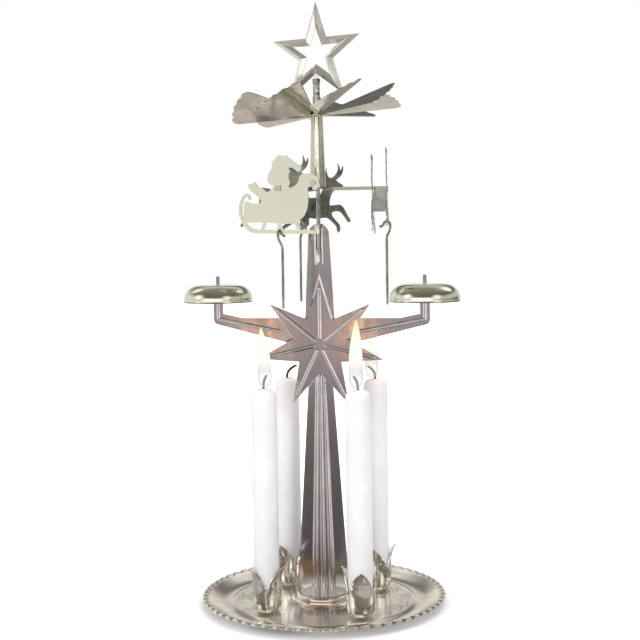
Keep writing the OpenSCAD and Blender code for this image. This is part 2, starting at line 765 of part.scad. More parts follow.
// Cross-section of a folded arm, its upper side at z = 0
module arm_section() {
    translate([-arm_w / 2, -arm_h])
        difference() {
            square([arm_w, arm_h]);
            translate([arm_sheet, -cut])
                square([arm_w - 2 * arm_sheet, arm_h - arm_sheet + cut]);
        }
}

module carousel_arm(index, sheet_r) {
    sheet_out = sheet_r + figure_sheet / 2;
    rotate([0, 0, rotor_turn + 120 * index])
        translate([0, 0, spider_z]) {
            translate([arm_root_r, 0, 0])
                rotate([90, 0, 90])
                    linear_extrude(sheet_r - figure_sheet / 2 - arm_root_r)
                        arm_section();
            translate([sheet_r - figure_sheet, -tongue_slim_w / 2, -arm_sheet])
                cube([figure_sheet * 3 / 2 + arm_sheet, tongue_slim_w, arm_sheet]);
            translate([sheet_out, -arm_tab_w / 2, -arm_tab_h])
                cube([arm_sheet, arm_tab_w, arm_tab_h]);
        }
}

module arm_spider() {
    color([0.78, 0.77, 0.69])
        difference() {
            union() {
                translate([0, 0, spider_z - spider_sheet])
                    cylinder(h = spider_sheet, r = spider_hub_r);
                carousel_arm(0, pair_out_r);
                carousel_arm(1, pair_out_r);
                carousel_arm(2, sleigh_r);
            }
            translate([0, 0, spider_z - arm_h - cut])
                cylinder(h = arm_h + 2 * cut, r = needle_r + run_gap);
            translate([0, 0, spider_z - spider_sheet])
                claw_slots(tube_low_d / 2, spider_sheet);
        }
}

// One blade, flat, with its fold along +X
module blade_outline() {
    span = 360 / fan_blades - blade_gap_angle;
    lobe_mid_r = fan_r - blade_lobe_r;
    edge_angle = asin(blade_lobe_r / lobe_mid_r);
    steps = blade_lobes - 1;
    root = arc_points(0, 0, blade_root_r, blade_root_r, span, 0, 3);
    crown = arc_points(0, 0, lobe_mid_r, lobe_mid_r, edge_angle, span - edge_angle, 2 * steps);
    polygon(concat(root, [[fan_r - blade_lobe_r, 0]], crown,
        [lobe_mid_r * [cos(span), sin(span)]]));
    for (i = [0 : steps])
        rotate(edge_angle + (span - 2 * edge_angle) * i / steps)
            translate([lobe_mid_r, 0])
                circle(r = blade_lobe_r, $fn = 32);
}

module fan() {
    color([0.72, 0.68, 0.62])
        difference() {
            union() {
                translate([0, 0, fan_z])
                    cylinder(h = fan_sheet, r = fan_hub_r);
                translate([0, 0, fan_z])
                    rotate([0, -blade_lean, 0])
                        for (i = [0 : fan_blades - 1])
                            rotate([0, 0, fan_turn + 360 * i / fan_blades])
                                rotate([blade_pitch, 0, 0])
                                    linear_extrude(fan_sheet)
                                        blade_outline();
            }
            translate([0, 0, fan_z - cut])
                cylinder(h = fan_sheet + 2 * cut, r = ferrule_r);
            translate([0, 0, fan_z])
                claw_slots(tube_high_d / 2, fan_sheet);
            translate([0, 0, fan_z - fan_hub_r])
                cylinder(h = fan_hub_r, r = tube_high_d / 2 + slip_gap);
            translate([0, 0, fan_top_z])
                cylinder(h = fan_hub_r, r = tube_high_d / 2 - tube_wall + claw_l + slip_gap);
        }
}

module ferrule() {
    body_z = fan_top_z + ferrule_body_h;
    neck_z = body_z + ferrule_neck_h;
    spigot_r = ferrule_r - slip_gap / 2;
    color([0.7, 0.69, 0.66])
        difference() {
            rotate_extrude($fn = 48)
                polygon([[0, fan_z - ferrule_spigot_l], [spigot_r, fan_z - ferrule_spigot_l],
                    [spigot_r, fan_top_z], [ferrule_r, fan_top_z], [ferrule_r, body_z],
                    [ferrule_neck_r, body_z], [ferrule_neck_r, neck_z], [ferrule_collar_r, neck_z],
                    [ferrule_collar_r, ferrule_top_z], [0, ferrule_top_z]]);
            translate([0, 0, fan_z - ferrule_spigot_l - cut])
                cylinder(h = bearing_z + bearing_h - fan_z + ferrule_spigot_l + cut,
                    r = ferrule_bore_r, $fn = 48);
            rotate([0, 0, top_star_turn])
                translate([-star_stem_w / 2 - slip_gap / 2, -star_stem_sheet / 2 - slip_gap / 2,
                    ferrule_top_z - star_stem_depth])
                    cube([star_stem_w + slip_gap, star_stem_sheet + slip_gap,
                        star_stem_depth + cut]);
        }
}

module bearing_cup() {
    seat_r = ferrule_bore_r - slip_gap / 4;
    color([0.5, 0.5, 0.53])
        rotate_extrude($fn = 48)
            polygon([[bearing_dimple_h, bearing_z], [seat_r, bearing_z],
                [seat_r, bearing_z + bearing_h], [0, bearing_z + bearing_h],
                [0, bearing_z + bearing_dimple_h]]);
}

// Open star whose limbs are folded along their middle, with a stem in the ferrule
module top_star() {
    n = 5;
    notch_r = top_star_r * cos(72) / cos(36);
    edge = edge_distance(n, top_star_r, notch_r);
    mid_grow = 1 - limb_w / 2 / edge;
    in_grow = 1 - limb_w / edge;
    rings = [[1, 0], [mid_grow, -limb_fold], [in_grow, 0], [in_grow, star_stem_sheet],
        [mid_grow, star_stem_sheet - limb_fold], [1, star_stem_sheet]];
    points = [for (ring = rings)
        for (p = star_corners(n, top_star_r, notch_r, ring[0])) [p[0], ring[1], p[1]]];
    m = 2 * n;
    faces = [for (i = [0 : len(rings) - 1])
        for (k = [0 : m - 1])
            let (a = i * m + k, b = i * m + (k + 1) % m,
                c = ((i + 1) % len(rings)) * m + k, d = ((i + 1) % len(rings)) * m + (k + 1) % m)
            each [[a, c, b], [b, c, d]]];
    stem_top = top_star_z - notch_r * in_grow;
    stem_low = ferrule_top_z - star_stem_depth;
    color([0.82, 0.82, 0.78])
        rotate([0, 0, top_star_turn]) {
            translate([0, -star_stem_sheet / 2, top_star_z])
                polyhedron(points, faces);
            translate([-star_stem_w / 2, -star_stem_sheet / 2, stem_low])
                cube([star_stem_w, star_stem_sheet, stem_top - limb_w / 2 - stem_low]);
        }
}

module sleigh_outline() {
    unit_l = sleigh_l / 100;
    difference() {
        polygon(smooth_outline(unit_l * sleigh_shares, outline_steps));
        for (w = window_shares)
            polygon(unit_l * w);
    }
}

module sleigh() {
    color([0.85, 0.85, 0.78])
        on_arm(2, sleigh_r, figure_sheet)
            difference() {
                union() {
                    translate([0, sleigh_mid_z]) sleigh_outline();
                    translate([sleigh_eye_x, sleigh_eye_z]) circle(r = striker_eye_r, $fn = 32);
                }
                translate([sleigh_eye_x, sleigh_eye_z]) circle(r = striker_hole_r, $fn = 32);
                arm_slot();
            }
}

// Slot for an arm's tongue
module arm_slot() {
    translate([-tongue_slim_w / 2 - slip_gap, spider_z - arm_sheet - slip_gap])
        square([tongue_slim_w + 2 * slip_gap, arm_sheet + 2 * slip_gap]);
}

module deer_outline(x, rise) {
    translate([x, deer_belly_z + rise])
        polygon(smooth_outline(deer_l / 100 * deer_shares, outline_steps));
}

// Two reindeer cut from one sheet that is folded twice, so that they run side by side
module reindeer_pair(index) {
    color([0.66, 0.66, 0.64]) {
        on_arm(index, pair_in_r, figure_sheet)
            deer_outline(front_deer_x, 0);
        on_arm(index, pair_out_r, figure_sheet)
            difference() {
                union() {
                    deer_outline(rear_deer_x, rear_deer_rise);
                    translate([pair_eye_x, pair_eye_z]) circle(r = striker_eye_r, $fn = 32);
                }
                translate([pair_eye_x, pair_eye_z]) circle(r = striker_hole_r, $fn = 32);
                arm_slot();
            }
        rotate([0, 0, rotor_turn + 120 * index])
            translate([pair_in_r, -figure_sheet / 2, spider_z - joggle_drop])
                cube([pair_gap, figure_sheet, joggle_drop - arm_h]);
    }
}
module reindeer_pair_right() { reindeer_pair(0); }
module reindeer_pair_rear() { reindeer_pair(1); }

// Wire hook through the eye at radius eye_r, and the straight rod that hangs from it
module striker(index, eye_r, eye_x, eye_z) {
    rod_x = striker_r - eye_r;
    kink_z = -striker_sweep - striker_leg;
    path = concat(
        [[-striker_sweep - striker_end, 0, -striker_sweep - striker_end / 2],
            [-striker_sweep - striker_end / 2, 0, -striker_sweep - striker_end / 3]],
        [for (i = [0 : 8])
            striker_sweep * [-cos(180 * i / 8), 0, sin(180 * i / 8) - 1]],
        [[striker_sweep, 0, kink_z],
            [striker_sweep, striker_kink, 0] / 8 + [rod_x, 0, 0] / 8
                + [striker_sweep, 0, 0] * 3 / 4 + [0, 0, kink_z - striker_kink_l / 4],
            [(striker_sweep + 7 * rod_x) / 8, striker_kink * 7 / 8, kink_z - striker_kink_l * 3 / 4],
            [rod_x, striker_kink, kink_z - striker_kink_l],
            [rod_x, striker_kink, striker_low_z - eye_z]]);
    color([0.62, 0.61, 0.58])
        rotate([0, 0, rotor_turn + 120 * index])
            translate([eye_r, -eye_x, eye_z])
                wire(path, [for (p = path) striker_d / 2], striker_sides);
}
module striker_right() { striker(0, pair_out_r, pair_eye_x, pair_eye_z); }
module striker_rear() { striker(1, pair_out_r, pair_eye_x, pair_eye_z); }
module striker_sleigh() { striker(2, sleigh_r, sleigh_eye_x, sleigh_eye_z); }

tray();
cup_front_right();
cup_front_left();
cup_back_right();
cup_back_left();
cup_rivets();
pylon();
needle();
bell_right();
bell_left();
candle_front_right();
candle_front_left();
candle_back_right();
candle_back_left();
wick_front_right();
wick_front_left();
wick_back_right();
wick_back_left();
rotor_tube();
arm_spider();
fan();
ferrule();
bearing_cup();
top_star();
sleigh();
reindeer_pair_right();
reindeer_pair_rear();
striker_right();
striker_rear();
striker_sleigh();
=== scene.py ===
import math

import bmesh
import bpy
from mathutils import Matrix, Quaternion, Vector


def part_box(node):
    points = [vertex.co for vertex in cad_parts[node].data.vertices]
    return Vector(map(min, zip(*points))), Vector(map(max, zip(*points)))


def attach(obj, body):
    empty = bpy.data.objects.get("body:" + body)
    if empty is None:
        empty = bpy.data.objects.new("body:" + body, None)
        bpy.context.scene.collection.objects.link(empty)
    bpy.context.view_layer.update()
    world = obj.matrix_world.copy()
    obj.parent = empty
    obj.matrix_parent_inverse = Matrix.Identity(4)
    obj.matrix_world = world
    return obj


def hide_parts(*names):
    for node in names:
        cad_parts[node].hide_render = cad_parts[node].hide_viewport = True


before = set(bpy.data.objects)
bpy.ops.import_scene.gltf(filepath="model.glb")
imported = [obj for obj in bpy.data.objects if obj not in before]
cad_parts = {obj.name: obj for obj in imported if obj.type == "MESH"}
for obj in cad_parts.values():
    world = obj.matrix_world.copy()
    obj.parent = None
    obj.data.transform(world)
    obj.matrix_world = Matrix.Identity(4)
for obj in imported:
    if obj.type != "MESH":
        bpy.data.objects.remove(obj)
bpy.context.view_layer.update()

MM = 0.001
WHITE = (1.0, 1.0, 1.0, 1.0)


def deselect_all():
    bpy.ops.object.select_all(action="DESELECT")


def only(piece):
    """Makes one piece the selected and active one."""
    deselect_all()
    piece.select_set(True)
    bpy.context.view_layer.objects.active = piece


def start_piece(name):
    """Names the primitive that was just added, puts its place into its mesh and opens it."""
    piece = bpy.context.object
    piece.name = name
    piece.data.name = name
    only(piece)
    bpy.ops.object.transform_apply(location=True, rotation=True, scale=True)
    bpy.ops.object.mode_set(mode="EDIT")
    bpy.ops.mesh.select_all(action="SELECT")
    return piece


def face_outwards():
    """Turns all faces of the open mesh the same way out and leaves them selected."""
    bpy.ops.mesh.select_all(action="SELECT")
    bpy.ops.mesh.normals_make_consistent(inside=False)


def close_edit():
    bpy.ops.object.mode_set(mode="OBJECT")


def pick(piece, test):
    """Selects the vertices that pass the test, and the edges and faces between them."""
    bpy.ops.mesh.select_mode(type="VERT")
    bpy.ops.mesh.select_all(action="DESELECT")
    shape = bmesh.from_edit_mesh(piece.data)
    for v in shape.verts:
        v.select = bool(test(v.co))
    shape.select_flush_mode()
    bmesh.update_edit_mesh(piece.data)


def draw_through(rings, sideways=lambda height: 0.0, stretch=1.0):
    """Extrudes what is selected through rings of (radius, height) in mm.

    sideways gives the shift of a ring's middle along X for its height.
    """
    for (old_r, old_z), (radius, height) in zip(rings, rings[1:]):
        bpy.ops.mesh.extrude_region()
        share = radius / old_r
        bpy.ops.transform.resize(value=(share, share, 1.0), center_override=(sideways(old_z), 0, 0))
        step = sideways(height) - sideways(old_z)
        bpy.ops.transform.translate(value=(step, 0, (height - old_z) * MM * stretch))


def smooth(piece, angle):
    only(piece)
    bpy.ops.object.shade_smooth_by_angle(angle=math.radians(angle))


def dress(piece, material, body, stands_for=()):
    """Gives a new piece its material, body and the nodes that it stands for."""
    piece.data.materials.clear()
    piece.data.materials.append(material)
    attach(piece, body)
    if stands_for:
        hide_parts(*stands_for)


# Materials


def shade(red, green, blue):
    """Colour written as the eye sees it, 0 to 255."""
    def straight(c):
        c = c / 255
        return c / 12.92 if c <= 0.04045 else ((c + 0.055) / 1.055) ** 2.4
    return (straight(red), straight(green), straight(blue), 1.0)


class Graph:
    """A node tree and short ways to add nodes to it."""

    def __init__(self, tree, coords):
        self.tree = tree
        self.coords = tree.nodes.new("ShaderNodeTexCoord").outputs[coords]

    def feed(self, socket, value):
        """Links an output to the socket, or writes a plain value into it."""
        if hasattr(value, "is_output"):
            self.tree.links.new(value, socket)
        else:
            socket.default_value = value

    def node(self, kind, inputs=(), **settings):
        made = self.tree.nodes.new(kind)
        for key, value in settings.items():
            setattr(made, key, value)
        for key, value in inputs:
            self.feed(made.inputs[key], value)
        return made

    def axes(self):
        split = self.node("ShaderNodeSeparateXYZ", [("Vector", self.coords)])
        return split.outputs["X"], split.outputs["Y"], split.outputs["Z"]

    def stretched(self, scale):
        return self.node("ShaderNodeMapping",
            [("Vector", self.coords), ("Scale", scale)]).outputs[0]

    def noise(self, scale, detail=2.0, vector=None, rough=0.5):
        made = self.node("ShaderNodeTexNoise", [("Vector", vector or self.coords),
            ("Scale", scale), ("Detail", detail), ("Roughness", rough)])
        return made.outputs["Fac"]

    def span(self, value, low, high, to_low=0.0, to_high=1.0):
        """Carries low to high over to to_low to to_high, and holds the ends beyond them."""
        made = self.node("ShaderNodeMapRange", [("Value", value), ("From Min", low),
            ("From Max", high), ("To Min", to_low), ("To Max", to_high)])
        return made.outputs[0]

    def band(self, value, start, full, fade, end):
        """1 between full and fade, and 0 outside start and end."""
        return self.times(self.span(value, start, full), self.span(value, fade, end, 1.0, 0.0))

    def calc(self, kind, a, b=0.0):
        return self.node("ShaderNodeMath", [(0, a), (1, b)], operation=kind).outputs[0]

    def times(self, product, *factors):
        for factor in factors:
            product = self.calc("MULTIPLY", product, factor)
        return product

    def from_axis(self, x, y):
        return self.calc("SQRT", self.calc("ADD", self.times(x, x), self.times(y, y)))

    def off(self, value, middle):
        """How far the value lies off the middle, to either side."""
        return self.calc("ABSOLUTE", self.calc("SUBTRACT", value, middle))

    def stripes(self, phase, width):
        """Thin lines where the sine of the phase passes zero."""
        wave = self.calc("ABSOLUTE", self.calc("SINE", phase))
        return self.span(wave, 0.0, width, 1.0, 0.0)

    def blend(self, share, a, b, how="MIX"):
        made = self.node("ShaderNodeMix", data_type="RGBA", blend_type=how)
        self.feed(made.inputs[0], share)
        self.feed(made.inputs[6], a)
        self.feed(made.inputs[7], b)
        return made.outputs[2]

    def ramp(self, value, stops):
        """Colour ramp through stops of (place, colour)."""
        made = self.node("ShaderNodeValToRGB", [("Fac", value)])
        elements = made.color_ramp.elements
        while len(elements) < len(stops):
            elements.new(0.5)
        for element, (place, colour) in zip(elements, stops):
            element.position = place
            element.color = colour
        return made.outputs["Color"]

    def bump(self, height, distance, onto=None):
        made = self.node("ShaderNodeBump", [("Height", height), ("Distance", distance),
            ("Strength", 1.0)])
        if onto is not None:
            self.feed(made.inputs["Normal"], onto)
        return made.outputs["Normal"]

    def glow(self, colour, strength):
        return self.node("ShaderNodeEmission",
            [("Color", colour), ("Strength", strength)]).outputs[0]

    def mixed(self, share, a, b):
        """One shader turning into another."""
        return self.node("ShaderNodeMixShader", [(0, share), (1, a), (2, b)]).outputs[0]

    def rays(self):
        """Which rays look straight at a thing, and which see it mirrored."""
        path = self.node("ShaderNodeLightPath").outputs
        straight = self.calc("MAXIMUM", path["Is Camera Ray"], path["Is Transmission Ray"])
        return straight, path["Is Glossy Ray"]


class Recipe(Graph):
    """A material, whose main shader takes its values by name."""

    def __init__(self, name):
        self.material = bpy.data.materials.new(name)
        self.material.use_nodes = True
        super().__init__(self.material.node_tree, "Object")
        self.shader = self.tree.nodes["Principled BSDF"]

    def set(self, key, value):
        self.feed(self.shader.inputs[key], value)

    def surface(self, shader):
        self.feed(self.tree.nodes["Material Output"].inputs["Surface"], shader)


RIM_LOBES = 64
# Where a flame's warm glow is painted into the pylon's colour as a painted reflection, and how far
# it reaches
PYLON_PAINTED_GLOW_SPOT = (-0.008, 0, 0.017)
PAINTED_GLOW_REACH = 8 * MM
# Height under which painted shade darkens the bells' lower edge, and how far it fades
BELL_PAINTED_SHADE_BELOW = 0.1524
PAINTED_SHADE_FADE = 0.4 * MM


def plated_sheet(name, light, dark, rough, sway=0.00012, sway_scale=45.0,
        grain=0.000004, metal=1.0, painted_glow_spot=None, painted_shade_below=None):
    """Bright plated sheet metal: slow waves from the press, fine rolling lines and smudges.

    painted_glow_spot is a place round which a flame's warm glow is painted in as a painted
    reflection, and painted_shade_below the height under which painted shade darkens the lower edge.
    """
    made = Recipe(name)
    slow = made.noise(sway_scale)
    lines = made.noise(300.0, 2.0, made.stretched((1.0, 1.0, 0.06)))
    smudge = made.noise(110.0, 5.0, rough=0.65)
    pits = made.noise(1900.0, 1.0)
    tint = made.blend(made.span(smudge, 0.35, 0.7), light, dark)
    # Painted reflection: a flame's warm glow is painted into the colour round the spot
    if painted_glow_spot is not None:
        away = made.node("ShaderNodeVectorMath", [(0, made.coords), (1, painted_glow_spot)],
            operation="DISTANCE").outputs["Value"]
        flame_glow_share = made.times(made.span(away, PAINTED_GLOW_REACH * 0.1, PAINTED_GLOW_REACH * 1.1, 0.5, 0.0),
            made.span(slow, 0.2, 0.6, 0.6, 1.0))
        tint = made.blend(flame_glow_share, tint, shade(255, 184, 128))
    # Painted shade: a dark band below the given height stands for the dark lower edge
    if painted_shade_below is not None:
        dull = made.span(made.axes()[2], painted_shade_below, painted_shade_below + PAINTED_SHADE_FADE, 0.85, 0.0)
        tint = made.blend(dull, tint, shade(104, 102, 96))
    made.set("Base Color", made.blend(made.span(pits, 0.66, 0.74, 0.0, 0.35), tint, dark))
    made.set("Metallic", metal)
    made.set("Roughness", made.calc("ADD", made.span(smudge, 0.3, 0.75, rough * 0.6, rough * 1.5),
        made.span(lines, 0.4, 0.6, -0.01, 0.02)))
    made.set("Normal", made.bump(lines, grain, onto=made.bump(slow, sway)))
    return made.material


def drawn_wire(name, light, dark, rough=0.2):
    """Drawn wire: die lines along it and a dull film in places."""
    made = Recipe(name)
    along = made.noise(900.0, 3.0, made.stretched((1.0, 1.0, 0.03)))
    film = made.noise(180.0, 4.0)
    made.set("Base Color", made.blend(made.span(film, 0.4, 0.7), light, dark))
    made.set("Metallic", 1.0)
    made.set("Roughness", made.span(along, 0.3, 0.7, rough * 0.7, rough * 1.4))
    made.set("Normal", made.bump(along, 0.000008))
    return made.material


def candle_wax(name):
    """White wax with faint clouding, a soft glow inside and a slightly greasy skin."""
    made = Recipe(name)
    cloud = made.noise(60.0, 4.0)
    skin = made.noise(420.0, 3.0)
    made.set("Base Color", made.blend(made.span(cloud, 0.35, 0.7),
        shade(246, 246, 248), shade(238, 237, 238)))
    made.set("Roughness", made.span(skin, 0.3, 0.7, 0.34, 0.5))
    made.set("Subsurface Weight", 0.25)
    made.set("Subsurface Radius", (0.9, 0.7, 0.5))
    made.set("Subsurface Scale", 0.003)
    made.set("Specular IOR Level", 0.35)
    made.set("Normal", made.bump(skin, 0.00002, onto=made.bump(cloud, 0.0001)))
    return made.material


WICK_BROWN_FROM, WICK_BROWN_TO = 0.112, 0.1155


def burnt_cord(name):
    """Braided cotton wick, pale brown at the wax and charred black above."""
    made = Recipe(name)
    braid = made.node("ShaderNodeTexWave", [("Vector", made.coords), ("Scale", 420.0),
        ("Distortion", 3.0), ("Detail", 2.0)], bands_direction="DIAGONAL").outputs["Fac"]
    char = made.noise(700.0, 4.0)
    rise = made.span(made.axes()[2], WICK_BROWN_FROM, WICK_BROWN_TO)
    brown = made.blend(rise, shade(176, 116, 70), shade(92, 58, 40))
    dark = made.blend(made.span(char, 0.4, 0.65), shade(44, 34, 30), brown)
    made.set("Base Color",
        made.blend(made.span(braid, 0.2, 0.9, 0.0, 0.4), dark, shade(24, 19, 17)))
    made.set("Roughness", 0.9)
    made.set("Normal", made.bump(braid, 0.00008))
    return made.material


# The leaf spray: its stems, how often and how far they bend, its veins and how they spread
LEAF_STEMS, BEND_WAVES, BEND = 12.0, 420.0, 0.35
VEIN_WAVES, VEIN_SPREAD = 2600.0, 9.0
# Rings on the tray by their distance from the axis in metres
LEAF_RING = (0.027, 0.029, 0.043, 0.045)
PLATFORM_WALL = (0.0125, 0.0135, 0.0145, 0.017)
RIM_CREST = (0.0583, 0.0596)
RIM_ROUGH = (0.0575, 0.059)


def tray_plating(name):
    """Satin bright plating with a faint pressed spray of leaves on the tray's floor."""
    made = Recipe(name)
    x, y, _ = made.axes()
    radius = made.from_axis(x, y)
    angle = made.calc("ARCTAN2", y, x)
    smudge = made.noise(80.0, 5.0, rough=0.6)
    tint = made.blend(made.span(smudge, 0.35, 0.7), shade(242, 238, 231), shade(224, 219, 210))

    # Bent stems with veins between them, pressed only in patches
    bend = made.times(made.calc("SINE", made.times(radius, BEND_WAVES)), BEND)
    stems = made.stripes(made.times(made.calc("ADD", angle, bend), LEAF_STEMS), 0.22)
    spread = made.calc("ABSOLUTE", made.calc("SINE", made.times(angle, LEAF_STEMS / 2)))
    veins = made.stripes(made.calc("ADD", made.times(radius, VEIN_WAVES),
        made.times(spread, VEIN_SPREAD)), 0.3)
    pressed = made.times(made.calc("MAXIMUM", stems, made.times(veins, 0.6)),
        made.band(radius, *LEAF_RING), made.span(made.noise(70.0), 0.47, 0.55))
    tint = made.blend(made.times(pressed, 0.45), tint, shade(150, 141, 132))

    # Painted reflection: the flames' warm light on the platform's wall in front is painted into the
    # colour
    painted_flame_glow = made.times(made.band(radius, *PLATFORM_WALL), 0.4,
        made.span(y, -0.0125, -0.0095, 1.0, 0.0),
        made.span(made.noise(260.0), 0.42, 0.56, 0.15, 1.0))
    tint = made.blend(painted_flame_glow, tint, shade(196, 136, 108))

    # Painted shade in the dips between the rim's lobes, fainter at the front and the back
    painted_notch_shade = made.times(made.span(radius, *RIM_CREST, 0.0, 0.75),
        made.span(made.calc("ABSOLUTE", x), 0.02, 0.05, 0.15, 1.0),
        made.span(made.calc("COSINE", made.times(angle, float(RIM_LOBES))), 0.1, 0.9))
    made.set("Base Color", made.blend(painted_notch_shade, tint, shade(96, 92, 90)))
    made.set("Metallic", 1.0)
    made.set("Roughness", made.calc("ADD", made.span(smudge, 0.3, 0.75, 0.12, 0.25),
        made.span(radius, *RIM_ROUGH, 0.0, 0.2)))
    slow = made.bump(made.noise(40.0), 0.0002)
    made.set("Normal", made.bump(pressed, 0.0005, onto=slow))
    return made.material


TRAY_PLATE = tray_plating("tray_satin_plating")
CUP_PLATE = plated_sheet("cup_bright_plating", shade(242, 237, 233), shade(226, 219, 213),
    rough=0.05, sway=0.0003, sway_scale=120.0)
PYLON_PLATE = plated_sheet("pylon_bright_plating", shade(209, 206, 207), shade(191, 187, 189),
    rough=0.1, sway=0.00008, sway_scale=25.0, painted_glow_spot=PYLON_PAINTED_GLOW_SPOT)
# A whiter, partly dull copy of the plating that paints highlights on the slot's beads
HIGHLIGHT_EDGE_PLATE = plated_sheet("painted_highlight_plating", shade(250, 248, 244), shade(232, 229, 224),
    rough=0.3, metal=0.65)
NEEDLE_STEEL = drawn_wire("needle_drawn_steel", shade(200, 200, 202), shade(160, 160, 163),
    rough=0.15)
BELL_PLATE = plated_sheet("bell_polished_plating", shade(222, 221, 208), shade(204, 202, 186),
    rough=0.13, sway=0.00003, sway_scale=60.0, grain=0.000002, painted_shade_below=BELL_PAINTED_SHADE_BELOW)
ROTOR_PLATE = plated_sheet("rotor_bright_plating", shade(205, 203, 191), shade(180, 177, 164),
    rough=0.07, sway=0.0001, sway_scale=90.0)
FERRULE_PLATE = plated_sheet("ferrule_turned_plating", shade(188, 186, 178), shade(84, 82, 77),
    rough=0.07, sway=0.0005, sway_scale=260.0, grain=0.00002)
FAN_PLATE = plated_sheet("fan_bright_plating", shade(204, 199, 188), shade(180, 174, 162),
    rough=0.14, sway=0.0002, sway_scale=60.0)
STAR_PLATE = plated_sheet("top_star_plating", shade(236, 236, 230), shade(218, 217, 209),
    rough=0.14, sway=0.0002, sway_scale=90.0, metal=0.85)
SLEIGH_PLATE = plated_sheet("sleigh_satin_plating", shade(219, 219, 204), shade(208, 207, 191),
    rough=0.22, sway=0.00008, sway_scale=40.0)
DEER_PLATE = plated_sheet("reindeer_plating", shade(204, 204, 200), shade(180, 179, 174),
    rough=0.12, sway=0.0003, sway_scale=70.0)
STRIKER_WIRE = drawn_wire("striker_wire", shade(176, 174, 166), shade(132, 129, 120))
RIVET_METAL = drawn_wire("rivet_metal", shade(196, 194, 188), shade(150, 147, 140), rough=0.25)
BEARING_METAL = drawn_wire("bearing_turned_steel", shade(150, 150, 156), shade(110, 110, 116))
WAX = candle_wax("white_candle_wax")
WICK_CORD = burnt_cord("burnt_wick_cord")

MATERIAL_OF = {
    "tray": TRAY_PLATE, "cup_rivets": RIVET_METAL, "pylon": PYLON_PLATE,
    "needle": NEEDLE_STEEL, "rotor_tube": ROTOR_PLATE, "arm_spider": ROTOR_PLATE,
    "fan": FAN_PLATE, "ferrule": FERRULE_PLATE, "bearing_cup": BEARING_METAL,
    "top_star": STAR_PLATE, "sleigh": SLEIGH_PLATE,
}
KIND_OF = (("cup_", CUP_PLATE), ("bell_", BELL_PLATE), ("candle_", WAX), ("wick_", WICK_CORD),
    ("reindeer_", DEER_PLATE), ("striker_", STRIKER_WIRE))
for node_name, node_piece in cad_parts.items():
    finish = MATERIAL_OF.get(node_name)
    if finish is None:
        finish = next(m for start, m in KIND_OF if node_name.startswith(start))
    node_piece.data.materials.clear()
    node_piece.data.materials.append(finish)


# Pressed round sheets: tray and bells


TRAY_R = 61.5 * MM
RIM_BAND = 2.2 * MM
# Pressings of the rim: how far off a lobe's middle, how far drawn in, and how far down in mm
LOBE_PRESSINGS = ((0.5, 0.983, 0.65), (1 / 3, 0.9945, 0.22))
LOBE_REACH = 0.04
TRAY_SHEET = 0.48 * MM
# Upper side of the tray as (radius, height) in mm: platform, floor, hollow wall and rolled rim
TRAY_RINGS = (
    (11.0, 4.9), (12.6, 4.9), (13.1, 4.8), (13.5, 4.5), (13.8, 4.0), (13.9, 3.0), (14.0, 1.6),
    (14.3, 1.15), (15.0, 1.0), (30.0, 1.0), (44.0, 1.0), (45.6, 1.02), (46.2, 0.9), (46.9, 0.62),
    (47.5, 0.52), (49.5, 0.5), (51.5, 0.72), (53.5, 1.3), (55.5, 2.2), (57.2, 3.15),
    (58.4, 3.95), (59.2, 4.5), (59.7, 4.85), (60.3, 4.98), (60.9, 4.8), (61.3, 4.4),
    (61.45, 3.95),
)
BELL_SHEET = 0.5 * MM
# Measures of the bells in mm, and the shoulder's and the lip's shares of radius and height
BELL_HOLE_R, BELL_LIP_STEP, CROWN_DROP = 1.05, 0.25, 0.05
SHOULDER_SHARE, LIP_SHARE = 0.42, 0.17
SHOULDER_STEPS = 12
BELL_SEGMENTS = 128


def draw_sheet(name, segments, rings, fill="NOTHING"):
    """A flat ring or disc drawn outwards edge by edge through rings of (radius, height) in mm."""
    deselect_all()
    first_r, first_z = rings[0]
    bpy.ops.mesh.primitive_circle_add(vertices=segments, radius=first_r * MM, fill_type=fill,
        location=(0, 0, first_z * MM))
    piece = start_piece(name)
    if fill != "NOTHING":
        bpy.ops.mesh.region_to_loop()
    draw_through(rings)
    face_outwards()
    return piece


def thicken(piece, thickness):
    """Gives a sheet its thickness on the lower side of its largest face."""
    faces_down = max(piece.data.polygons, key=lambda face: face.area).normal.z < 0
    only(piece)
    bpy.ops.object.modifier_add(type="SOLIDIFY")
    made = piece.modifiers[-1]
    made.thickness = thickness
    made.offset = 1.0 if faces_down else -1.0
    bpy.ops.object.modifier_apply(modifier=made.name)


def press_lobes(piece, off, grow, drop):
    """Draws in the rim at the places that lie off a lobe's middle by a share of its width."""
    def at_place(co):
        if co.xy.length < TRAY_R - RIM_BAND:
            return False
        place = (math.atan2(co.y, co.x) / math.tau * RIM_LOBES) % 1.0
        return abs(abs(place - 0.5) - off) < LOBE_REACH
    pick(piece, at_place)
    bpy.ops.transform.resize(value=(grow, grow, 1.0), center_override=(0, 0, 0))
    bpy.ops.transform.translate(value=(0, 0, -drop))


def tray():
    """Lobed tray with a platform, a flat floor and a hollow wall."""
    piece = draw_sheet("tray_stamping", RIM_LOBES * 6, TRAY_RINGS, "NGON")
    for off, grow, drop in LOBE_PRESSINGS:
        press_lobes(piece, off, grow, drop * MM)
    close_edit()
    thicken(piece, TRAY_SHEET)
    smooth(piece, 50)
    dress(piece, TRAY_PLATE, "stand", ["tray"])


